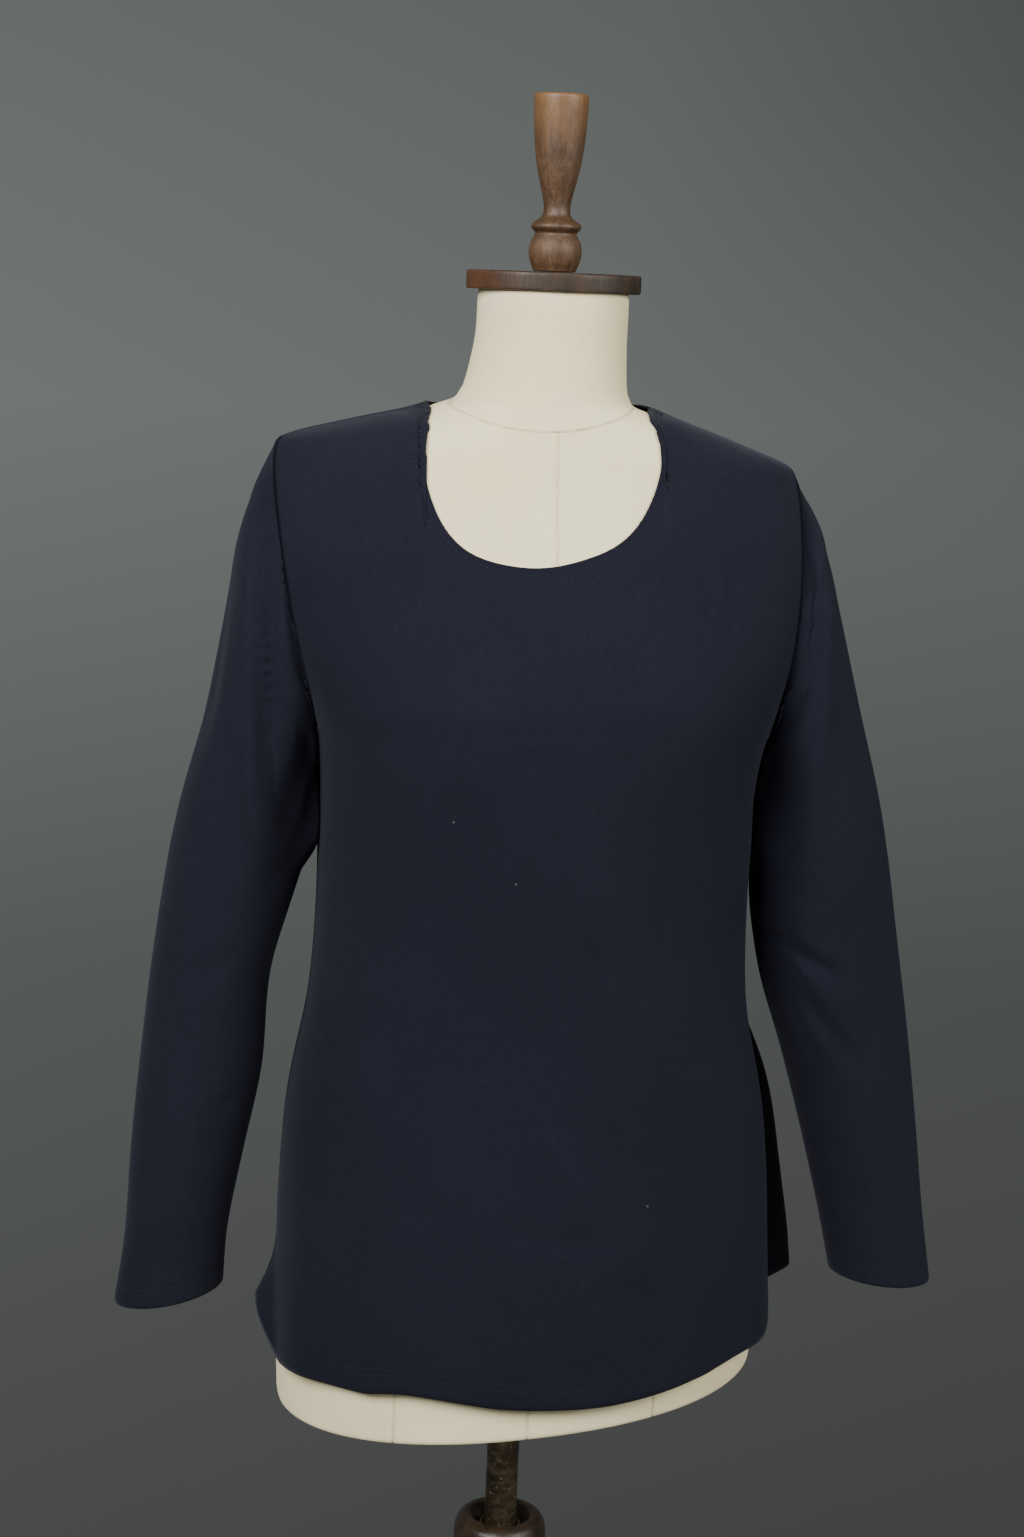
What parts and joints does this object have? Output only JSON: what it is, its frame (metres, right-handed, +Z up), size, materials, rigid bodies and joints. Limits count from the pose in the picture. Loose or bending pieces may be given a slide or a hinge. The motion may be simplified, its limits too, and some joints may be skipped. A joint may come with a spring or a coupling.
{
  "type": "long-sleeve jersey top on a limbless dress form",
  "caption": "Fitted scoop-neck long-sleeve pull-on top in plain jersey, worn by a linen-covered limbless dress form on a pole with a round wooden base.",
  "frame": {"origin": "middle of the underside of the stand's round base, on the floor", "axes": "+Z up along the pole, -Y the front of the top, -X the wearer's right side"},
  "size_m": [0.5805, 0.34, 1.6283],
  "materials": {
    "navy jersey": "matt, soft",
    "cream linen": "matt, fine weave",
    "brown turned wood": "worn satin",
    "dark stand wood": "satin",
    "aged steel": "worn, brown with age"
  },
  "bodies": {
    "root": {"front_panel": "navy jersey", "back_panel": "navy jersey", "sleeve_right": "navy jersey", "sleeve_left": "navy jersey", "form_body": "cream linen", "neck_cap": "brown turned wood", "finial": "brown turned wood", "pole": "aged steel", "socket_ring": "aged steel", "column": "dark stand wood", "base": "dark stand wood"}
  },
  "joints": []
}
